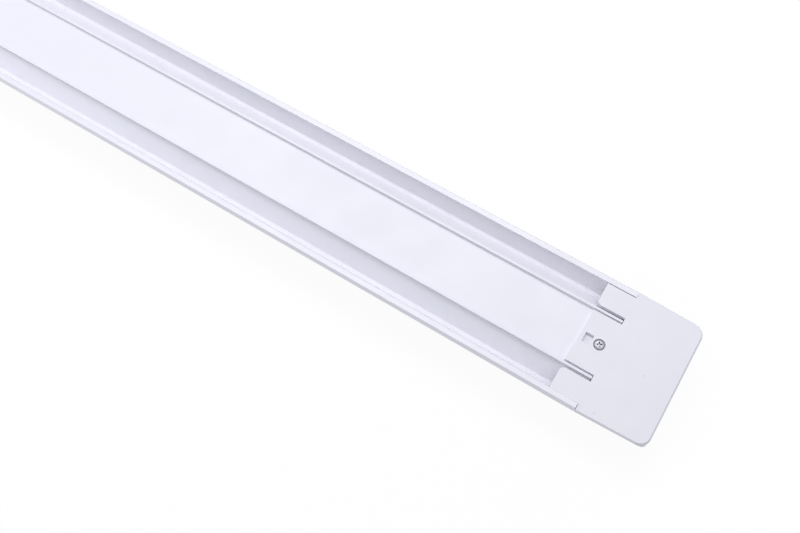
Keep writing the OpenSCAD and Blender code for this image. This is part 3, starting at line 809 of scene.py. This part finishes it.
@dataclass
class Rail(Section):
    """The white base profile and the opal cover whose lips hold it."""

    base_edge: float = 0.10
    cover_edge: float = 0.12
    marks: tuple[Point, ...] = ((-0.124, 0.0270, 0.0163), (0.087, -0.0250, 0.0180))
    # a dark fleck painted on the near lip of the cover: painted shade of a small dent that is not modelled
    cover_dent_shade: tuple[Point, ...] = ((-0.0285, -0.0343, 0.0260),)
    # one fine dark line of painted shade along the far slope of the base
    lines: tuple[float, ...] = (0.0228,)

    def build(self) -> None:
        """Dresses both extrusions."""
        self.dress("base_profile", WHITE_COAT, self.base_edge, marks=self.marks, lines=self.lines)
        self.dress("diffuser", OPAL, self.cover_edge, marks=self.cover_dent_shade)


@dataclass
class EndCaps(Section):
    """Both end caps, their screws and the grommet of the cable entry."""

    edge: float = 0.14
    head_height: float = 1.62 * MM
    rim_height: float = 0.55 * MM
    crown_flat: float = 0.42
    tip_length: float = 0.6 * MM
    thread_pitch: float = 0.8 * MM
    thread_root: float = 0.78
    thread_crest: float = 0.98
    recess_arm: float = 1.65 * MM
    recess_width: float = 0.80 * MM
    recess_depth: float = 1.15 * MM
    recess_turn: float = 30.0
    marks: tuple[Point, ...] = ((0.2831, -0.0031, 0.0254), (0.2706, -0.0332, 0.0254))

    def build(self) -> None:
        """Builds the caps, the screws and the grommet."""
        for side in Side:
            self.dress(f"end_cap_{side.name.lower()}", CAP_WHITE, self.edge, marks=self.marks)
        for side in Side:
            self.screw(side)
        self.dress("cable_grommet", RUBBER, 0.25, 3)

    def screw(self, side: Side) -> None:
        """Builds one pan head screw with a cross recess and a thread.

        Args:
            side: the end that it holds.
        """
        node = f"cap_screw_{side.name.lower()}"
        low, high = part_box(node)
        middle = (low + high) / 2
        bm = lathe(self._outline((high.x - low.x) / 2, high.z - low.z), (middle.x, middle.y, low.z))
        screw = self.bench.piece(f"{node}_finished", bm, self.finishes.get(ZINC))
        cutters = [self._arm(middle, high.z, side.value * self.recess_turn + turn) for turn in (0.0, 90.0)]
        for cutter in cutters:
            cut = screw.modifiers.new(cutter.name, "BOOLEAN")
            cut.operation = "DIFFERENCE"
            cut.solver = "EXACT"
            cut.object = cutter
        bpy.context.view_layer.update()
        shaped = screw.evaluated_get(bpy.context.evaluated_depsgraph_get())
        screw.data = bpy.data.meshes.new_from_object(shaped)
        screw.modifiers.clear()
        for cutter in cutters:
            bpy.data.objects.remove(cutter)
        screw.data.shade_smooth()
        screw.data.set_sharp_from_angle(angle=math.radians(38.0))
        self.bench.fit(screw, node)

    def _outline(self, head_r: float, top: float) -> list[tuple[float, float]]:
        """Draws half of the screw's outline, from its tip to the middle of its head.

        Args:
            head_r: radius of the head, which is twice the shank's.
            top: length of the whole screw.

        Returns:
            Radius and height of each point.
        """
        root, crest = (share * head_r / 2 for share in (self.thread_root, self.thread_crest))
        neck = top - self.head_height
        rim = neck + self.rim_height
        pitch = self.thread_pitch
        points = [(0.0, 0.0), (0.35 * MM, 0.25 * MM)]
        for i in range(int((neck - self.tip_length) / pitch)):
            base = self.tip_length + i * pitch
            points += [(root, base), (crest, base + 0.42 * pitch), (root, base + 0.6 * pitch)]
        points += [(root, neck), (head_r * 0.96, neck), (head_r, neck + 0.12 * MM), (head_r, rim)]
        for degrees in range(15, 91, 15):
            a = math.radians(degrees)
            reach = self.crown_flat + (1.0 - self.crown_flat) * math.cos(a) ** 0.8
            points.append((head_r * reach, rim + (top - rim) * math.sin(a) ** 0.9))
        return [*points, (0.0, top)]

    def _arm(self, middle: Vector, top: float, turn: float) -> Object:
        """Makes the cutter of one arm of a cross recess.

        Args:
            middle: middle of the screw.
            top: level of the head's top.
            turn: how far the arm is turned, in degrees.

        Returns:
            The cutter, which is deleted after use.
        """
        bm = bmesh.new()
        depth = self.recess_depth + 0.4 * MM
        bmesh.ops.create_cone(bm, cap_ends=True, segments=4, radius1=self.recess_arm * 0.72,
                              radius2=self.recess_arm * 1.42, depth=depth)
        square = Matrix.Rotation(math.radians(45.0), 4, "Z")
        thin = Matrix.Diagonal((1.0, self.recess_width / (self.recess_arm * 1.6), 1.0, 1.0))
        spun = Matrix.Rotation(math.radians(turn), 4, "Z")
        place = Matrix.Translation((middle.x, middle.y, top - self.recess_depth + depth / 2))
        bmesh.ops.transform(bm, matrix=place @ spun @ thin @ square, verts=bm.verts)
        return put_in_scene("recess_arm", bm)


@dataclass
class LedBoard(Section):
    """The white board that slides in the base, its LEDs, their pads and the plug-through connector."""

    pad_length: float = 0.9 * MM
    pad_inset: float = 0.3 * MM
    pad_thickness: float = 0.05 * MM
    gap: Color = (0.74, 0.74, 0.71)

    def build(self) -> None:
        """Builds the board and what is soldered to it."""
        self.dress("led_board", MASK_WHITE, 0.08, tracks=Tracks.LANDS, gap=self.gap)
        self.dress("led_packages", LED_WHITE, 0.05, 1)
        self.dress("led_phosphors", PHOSPHOR, 0.04, 1)
        self.dress("led_connector", NYLON, 0.12)
        self.pads()

    def places(self) -> list[tuple[Vector, Vector]]:
        """Finds the box of each LED package, from the vertices that edges join.

        Returns:
            Lowest and highest corner of each.
        """
        bm = self.bench.copy("led_packages")
        seen: set[int] = set()
        boxes = []
        for start in bm.verts:
            if start.index in seen:
                continue
            group, queue = [], [start]
            seen.add(start.index)
            while queue:
                vert = queue.pop()
                group.append(vert.co.copy())
                for edge in vert.link_edges:
                    other = edge.other_vert(vert)
                    if other.index not in seen:
                        seen.add(other.index)
                        queue.append(other)
            boxes.append(tuple(Vector(end(p[i] for p in group) for i in range(3)) for end in (min, max)))
        bm.free()
        return boxes

    def pads(self) -> None:
        """Adds the tinned pads that stick out at both ends of every LED."""
        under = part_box("led_board")[0].z
        bm = bmesh.new()
        for low, high in self.places():
            for x in (low.x - self.pad_length * 0.6, high.x - self.pad_length * 0.4):
                box(bm, (x, low.y + self.pad_inset, under - self.pad_thickness),
                    (x + self.pad_length, high.y - self.pad_inset, under))
        self.add("led_pads", bm, SOLDER, "led_board")


@dataclass
class Driver(Section):
    """The driver: its tray, its board and the components on it."""

    mask_gap: Color = (0.008, 0.060, 0.026)
    fuse_lead_r: float = 0.3 * MM
    lead_r: float = 0.25 * MM
    sunk: float = 0.1 * MM
    flange: float = 1.05 * MM
    windings: int = 7
    chip_pitch: float = 1.27 * MM
    small_parts: tuple[tuple[float, float, float, float], ...] = (
        (20.0, 6.0, 2.0, 1.2), (26.0, 7.0, 1.6, 0.8), (47.0, -8.0, 2.0, 1.2), (60.0, 8.0, 2.0, 1.2),
        (72.0, -8.5, 1.6, 0.8), (79.0, 4.0, 3.2, 1.6), (86.0, 6.0, 1.6, 0.8), (86.5, -7.5, 2.0, 1.2),
        (109.0, 6.0, 3.2, 1.6), (115.0, 7.0, 2.0, 1.2), (120.0, 4.0, 1.6, 0.8), (128.0, 6.0, 2.0, 1.2),
    )

    def build(self) -> None:
        """Builds the tray, the board and every component."""
        self.dress("driver_tray", TRAY, 0.15)
        self.dress("driver_board", GREEN, 0.06, tracks=Tracks.POURS, gap=self.mask_gap)
        self.dress("film_capacitor", FILM, 0.45, 3)
        self.dress("bridge_rectifier", EPOXY, 0.2)
        self.dress("switching_chip", EPOXY, 0.12)
        self.dress("transformer_core", FERRITE, 0.2)
        self.dress("transformer_winding", TAPE, 0.35, 3)
        self.dress("input_capacitors", SLEEVE, 0.3, 3)
        self.dress("output_capacitor", SLEEVE, 0.3, 3)
        self.choke()
        self.fuse()
        self.can_ends()
        self.leads()
        self.surface_parts()

    @property
    def top(self) -> float:
        """Gives the level of the board's top."""
        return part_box("driver_board")[1].z

    def choke(self) -> None:
        """Builds the drum choke with its copper winding."""
        self.dress("input_choke", FERRITE, 0.15)
        low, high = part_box("input_choke")
        middle = (low + high) / 2
        drum_r = (high.x - low.x) / 2
        inner_r, outer_r = drum_r * 0.8, drum_r * 0.97
        bottom, top = low.z + self.flange, high.z - self.flange
        pitch = (top - bottom) / self.windings
        profile = [(inner_r + 0.02 * MM, bottom)]
        for i in range(self.windings):
            for k in range(1, 6):
                bulge = 0.55 + 0.45 * math.sin(math.pi * k / 6)
                profile.append((inner_r + (outer_r - inner_r) * bulge, bottom + pitch * (i + k / 6)))
        profile.append((inner_r + 0.02 * MM, top))
        bm = lathe(profile, (middle.x, middle.y, 0.0), steps=40)
        self.add("choke_winding", bm, COPPER, "input_choke", 60.0)

    def fuse(self) -> None:
        """Builds the fuse with its metal end caps and bent leads."""
        self.dress("fuse", CERAMIC, 0.3, 3)
        low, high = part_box("fuse")
        y, z = (low.y + high.y) / 2, (low.z + high.z) / 2
        r = (high.z - low.z) / 2
        caps, leads = bmesh.new(), bmesh.new()
        for end, way in ((low.x, -MM), (high.x, MM)):
            rod(caps, (end + way * 0.35, y, z), (end - way * 1.4, y, z), r - 0.05 * MM, r + 0.01 * MM, 28)
            bend = end + way * 1.7
            route = [(end - way * 0.2, y, z), (bend, y, z), (bend, y, self.top - self.sunk)]
            tube(leads, rounded_route(route, 0.7 * MM), self.fuse_lead_r)
        self.bench.soften(self.add("fuse_caps", caps, ALUMINIUM, "fuse"), 0.12)
        self.add("fuse_leads", leads, SOLDER, "fuse")

    def can_ends(self) -> None:
        """Adds each electrolytic capacitor's bare aluminium end, with its vent cross as black strips of
        painted shade.
        """
        ends, vent_shade_strips = bmesh.new(), bmesh.new()
        for node in ("input_capacitors", "output_capacitor"):
            low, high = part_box(node)
            x, z, r = high.x, (low.z + high.z) / 2, (high.z - low.z) / 2
            single = node == "output_capacitor"
            for y in ((low.y + high.y) / 2,) if single else (low.y + r, high.y - r):
                rod(ends, (x - 0.02 * MM, y, z), (x + 0.06 * MM, y, z), r * 0.84, r * 0.80, 36)
                # the vent cross as thin black strips: painted shade of its scored cuts
                for half_y, half_z in ((r * 0.62, 0.09 * MM), (0.09 * MM, r * 0.62)):
                    box(vent_shade_strips, (x + 0.05 * MM, y - half_y, z - half_z),
                        (x + 0.075 * MM, y + half_y, z + half_z))
        self.add("can_ends", ends, ALUMINIUM, "input_capacitors")
        self.add("can_vents", vent_shade_strips, EPOXY, "input_capacitors")

    def leads(self) -> None:
        """Adds the legs of the rectifier, the chip, the capacitors and the transformer."""
        bm = bmesh.new()
        self._rectifier_legs(bm)
        self._chip_legs(bm)
        self._capacitor_legs(bm)
        low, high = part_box("transformer_core")
        for x in (low.x + 1.6 * MM, high.x - 1.6 * MM):
            for y in (low.y + 0.9 * MM, high.y - 0.9 * MM):
                rod(bm, (x, y, self.top - self.sunk), (x, y, low.z + 0.2 * MM), 0.32 * MM, 0.32 * MM, 12)
        self.add("driver_leads", bm, SOLDER, "driver_board")

    def _rectifier_legs(self, bm: BMesh) -> None:
        """Adds two bent legs on each side of the rectifier.

        Args:
            bm: the shape to add to.
        """
        low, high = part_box("bridge_rectifier")
        level = self.top + 1.1 * MM
        for x in (low.x + MM, high.x - MM):
            for y, way in ((low.y, -MM), (high.y, MM)):
                knee = y + way * 0.8
                route = [(x, y - way * 0.2, level), (x, knee, level), (x, knee, self.top + 0.05 * MM)]
                tube(bm, rounded_route(route, 0.3 * MM), self.lead_r, 8)

    def _chip_legs(self, bm: BMesh) -> None:
        """Adds four stepped legs on each side of the chip.

        Args:
            bm: the shape to add to.
        """
        low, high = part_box("switching_chip")
        steps = ((0.0, 0.55, 0.5, 0.7), (0.45, 0.65, 0.0, 0.7), (0.5, 1.2, 0.0, 0.15))
        for i in range(4):
            x = low.x + 0.6 * MM + i * self.chip_pitch
            for y, way in ((low.y, -MM), (high.y, MM)):
                for near, far, bottom, top in steps:
                    box(bm, (x - 0.2 * MM, y + way * near, self.top + bottom * MM),
                        (x + 0.2 * MM, y + way * far, self.top + top * MM))

    def _capacitor_legs(self, bm: BMesh) -> None:
        """Adds two bent legs to each electrolytic capacitor.

        Args:
            bm: the shape to add to.
        """
        for node, middles in (("input_capacitors", (-4.5, 4.5)), ("output_capacitor", (-3.0,))):
            low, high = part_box(node)
            z = (low.z + high.z) / 2
            for y in (MM * (middle + off) for middle in middles for off in (-1.2, 1.2)):
                bend = low.x - 1.1 * MM
                route = [(low.x + 0.3 * MM, y, z), (bend, y, z), (bend, y, self.top - self.sunk)]
                tube(bm, rounded_route(route, 0.6 * MM), self.lead_r, 10)

    def surface_parts(self) -> None:
        """Adds the small chip resistors and capacitors with their tinned ends."""
        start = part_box("driver_board")[0].x
        bodies, ends = bmesh.new(), bmesh.new()
        for row in self.small_parts:
            along, y, length, width = (v * MM for v in row)
            x, half_l, half_w = start + along, length / 2, width / 2
            box(bodies, (x - half_l * 0.8, y - half_w * 0.96, self.top),
                (x + half_l * 0.8, y + half_w * 0.96, self.top + 0.5 * MM))
            for way in (-half_l, half_l):
                box(ends, (x + way, y - half_w, self.top),
                    (x + way * 0.72, y + half_w, self.top + 0.54 * MM))
        self.bench.soften(self.add("surface_parts", bodies, EPOXY, "driver_board"), 0.05)
        self.bench.soften(self.add("surface_part_ends", ends, SOLDER, "driver_board"), 0.08)


@dataclass
class Terminals(Section):
    """The bracket at the feed end with the terminal block, the cord clamp and the earth point."""

    def build(self) -> None:
        """Builds everything on the bracket."""
        self.dress("terminal_bracket", ZINC, 0.1)
        self.dress("terminal_block", NYLON, 0.18)
        self.dress("terminal_contacts", BRASS, 0.05)
        self.dress("terminal_springs", SPRING, 0.04)
        for pole in ("live", "neutral", "earth"):
            self.dress(f"{pole}_button", ORANGE, 0.18)
        self.dress("cord_clamp", NYLON, 0.25)
        self.dress("cord_clamp_screws", ZINC, 0.12)
        self.dress("earth_lug", BRASS, 0.08)
        self.dress("earth_screw", ZINC, 0.12)
        self.dress("earth_nut", ZINC, 0.15)


@dataclass(frozen=True)
class Wire:
    """One wire: the node that it stands for, its coat, and the corners of its route in millimetres."""

    node: str
    coat: Finish
    corners: tuple[Point, ...]
    stripe: Color | None = None


@dataclass
class Wiring(Section):
    """The insulated wires between the terminals, the driver and the LED board."""

    radius: float = 0.8 * MM
    core_r: float = 0.38 * MM
    bend: float = 2.2 * MM
    wires: tuple[Wire, ...] = (
        Wire("wire_live", BROWN_PVC, (
            (-274.8, 21.0, 15.2), (-268.8, 21.0, 15.2), (-262.8, 19.0, 14.5),
            (-245.3, 9.0, 14.5), (-240.3, 3.2, 16.7), (-228.3, 3.2, 16.7))),
        Wire("wire_neutral", BLUE_PVC, (
            (-274.8, 15.0, 15.2), (-268.8, 15.0, 15.2), (-262.8, 13.0, 14.5),
            (-245.3, 2.0, 14.5), (-240.3, -3.2, 16.7), (-228.3, -3.2, 16.7))),
        Wire("wire_earth", EARTH_PVC, (
            (-274.8, 9.0, 15.2), (-268.8, 9.0, 15.2), (-262.8, 4.0, 14.5),
            (-254.1, -4.0, 14.5), (-254.1, -9.0, 14.7), (-260.1, -9.0, 14.7)), (0.80, 0.62, 0.02)),
        Wire("wire_led_positive", RED_PVC, (
            (-103.3, 1.1, 16.7), (-96.3, 1.1, 16.7), (-91.3, 1.1, 15.2), (-85.5, 1.1, 15.2))),
        Wire("wire_led_negative", BLACK_PVC, (
            (-103.3, -1.1, 16.7), (-96.3, -1.1, 16.7), (-91.3, -1.1, 15.2), (-85.5, -1.1, 15.2))),
    )

    def build(self) -> None:
        """Builds each wire as a smooth tube with a bare copper core at its ends."""
        cores, drops = bmesh.new(), bmesh.new()
        for wire in self.wires:
            corners = [Vector(c * MM for c in corner) for corner in wire.corners]
            bm = bmesh.new()
            tube(bm, rounded_route(corners, self.bend), self.radius, 20)
            coat = self.finishes.get(wire.coat, stripe=wire.stripe)
            self.bench.fit(self.bench.piece(f"{wire.node}_finished", bm, coat, 50.0), wire.node)
            self._end(cores, drops, corners[0], corners[1])
            self._end(cores, drops, corners[-1], corners[-2])
        self.add("wire_cores", cores, COPPER, "wire_live")
        self.add("wire_joints", drops, SOLDER, "driver_board", 80.0)

    def _end(self, cores: BMesh, drops: BMesh, tip: Vector, inner: Vector) -> None:
        """Adds one end's stripped core, with a solder drop where it meets the driver board.

        Args:
            cores: the shape that takes the core.
            drops: the shape that takes the solder drop.
            tip: end of the insulation.
            inner: the corner of the route before it.
        """
        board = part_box("driver_board")[1].z
        way = (tip - inner).normalized() * MM
        if abs(tip.z - board) < 2 * self.radius and abs(tip.y) < 6 * MM:
            down = Vector((tip.x + way.x * 1.2, tip.y, board - 0.05 * MM))
            tube(cores, rounded_route([tip - way, tip + way * 1.2, down], 0.6 * MM), self.core_r, 10)
            foot = Vector((down.x, down.y, board))
            rod(drops, foot, foot + Vector((0.0, 0.0, 0.6 * MM)), 0.85 * MM, 0.42 * MM, 18)
        else:
            tube(cores, [tip - way, tip + way * 1.4], self.core_r, 10)


@dataclass(frozen=True)
class Lamp:
    """One soft rectangular lamp: its middle, the point that it faces, its sides and its power in watts."""

    name: str
    place: Point
    aim: Point
    size: tuple[float, float]
    power: float


@dataclass
class Studio:
    """The camera, the lamps, the white surroundings and the floor."""

    lens: float = 40.2
    eye: Point = (0.2496, -0.1820, 0.4567)
    heading: float = -0.5533
    tilt: float = 0.4244
    surround: float = 0.54
    daylight: Color = (0.955, 0.955, 1.0)
    floor_color: Color = (0.66, 0.66, 0.67)
    floor_radius: float = 3.0
    floor_glow: float = 1.04
    lamps: tuple[Lamp, ...] = (
        Lamp("back_lamp", (-0.10, 0.36, 0.95), (0.0, 0.0, 0.02), (0.90, 0.40), 5.1),
        Lamp("left_lamp", (-0.95, -0.20, 0.45), (-0.1, 0.0, 0.02), (0.40, 0.40), 3.1),
        Lamp("right_lamp", (1.00, 0.25, 0.42), (0.25, 0.0, 0.02), (0.40, 0.30), 0.2),
    )

    def build(self) -> None:
        """Sets up the whole stage."""
        self.camera()
        self.world()
        for lamp in self.lamps:
            self.light(lamp)
        self.floor()
        bpy.context.scene.view_settings.view_transform = "Standard"

    def camera(self) -> None:
        """Places the camera where the picture was taken from."""
        ch, sh = math.cos(self.heading), math.sin(self.heading)
        ct, st = math.cos(self.tilt), math.sin(self.tilt)
        right = Vector((ch, -sh, 0.0))
        up = Vector((ct * sh, ct * ch, st))
        back = Vector((-st * sh, -st * ch, ct))
        data = bpy.data.cameras.new("camera")
        data.sensor_width = 36.0
        data.sensor_fit = "HORIZONTAL"
        data.lens = self.lens
        data.clip_start = 0.01
        data.clip_end = 50.0
        made = bpy.data.objects.new("camera", data)
        turn = Matrix((right, up, back)).transposed().to_4x4()
        made.matrix_world = Matrix.Translation(self.eye) @ turn
        bpy.context.scene.collection.objects.link(made)
        bpy.context.scene.camera = made

    def light(self, lamp: Lamp) -> None:
        """Adds one soft rectangular lamp.

        Args:
            lamp: the lamp.
        """
        data = bpy.data.lights.new(lamp.name, "AREA")
        data.shape = "RECTANGLE"
        data.size, data.size_y = lamp.size
        data.energy = lamp.power
        data.color = self.daylight
        made = bpy.data.objects.new(lamp.name, data)
        turn = (Vector(lamp.aim) - Vector(lamp.place)).to_track_quat("-Z", "Y").to_matrix().to_4x4()
        made.matrix_world = Matrix.Translation(lamp.place) @ turn
        bpy.context.scene.collection.objects.link(made)

    def world(self) -> None:
        """Makes surroundings that look white and light the lamp softly."""
        world = bpy.data.worlds.new("surroundings")
        bpy.context.scene.world = world
        world.use_nodes = True
        graph = Graph(world.node_tree)
        seen = graph.backdrop_rays()
        back = graph.node("ShaderNodeBackground", {
            "Color": graph.mix(seen, self.daylight, (1.0, 1.0, 1.0)),
            "Strength": graph.spread(seen, 0.0, 1.0, self.surround, 1.0),
        })
        graph.node("ShaderNodeOutputWorld", {"Surface": back.outputs[0]})

    def floor(self) -> None:
        """Adds the white floor, which keeps a faint shadow beside the lamp and is clear from below."""
        bm = bmesh.new()
        bmesh.ops.create_circle(bm, cap_ends=True, segments=96, radius=self.floor_radius)
        made = put_in_scene("floor", bm)
        material = bpy.data.materials.new("white floor")
        material.use_nodes = True
        graph = Graph(material.node_tree)
        place = graph.node("ShaderNodeTexCoord").outputs["Object"]
        reach = graph.distance(graph.stretch(place, (1.0, 1.4, 1.0)))
        away = graph.spread(reach, 0.30, 0.60, 0.90, 1.0)
        shown = graph.node("ShaderNodeBsdfDiffuse", {"Color": (*self.floor_color, 1.0)})
        glow = graph.node("ShaderNodeEmission", {"Strength": self.floor_glow})
        clear = graph.node("ShaderNodeBsdfTransparent")
        background = graph.times(graph.backdrop_rays(), away)
        below = graph.node("ShaderNodeNewGeometry").outputs["Backfacing"]
        for share, other in ((background, glow), (below, clear)):
            blend = {0: share, 1: shown.outputs[0], 2: other.outputs[0]}
            shown = graph.node("ShaderNodeMixShader", blend)
        graph.node("ShaderNodeOutputMaterial", {"Surface": shown.outputs[0]})
        made.data.materials.append(material)


def main() -> None:
    """Builds every sub-assembly in order."""
    logging.basicConfig(level=logging.INFO, format="%(message)s")
    Studio().build()
    log.info("stage: camera, lamps and floor")
    finishes = Finishes(SurfaceEffects())
    bench = Bench()
    for kind in (Rail, EndCaps, LedBoard, Driver, Terminals, Wiring):
        before = {o.name for o in bpy.context.scene.objects}
        kind(bench, finishes).build()
        for made in sorted({o.name for o in bpy.context.scene.objects} - before):
            log.info("%s: %s", kind.__name__, made)


if __name__ == "__main__":
    main()
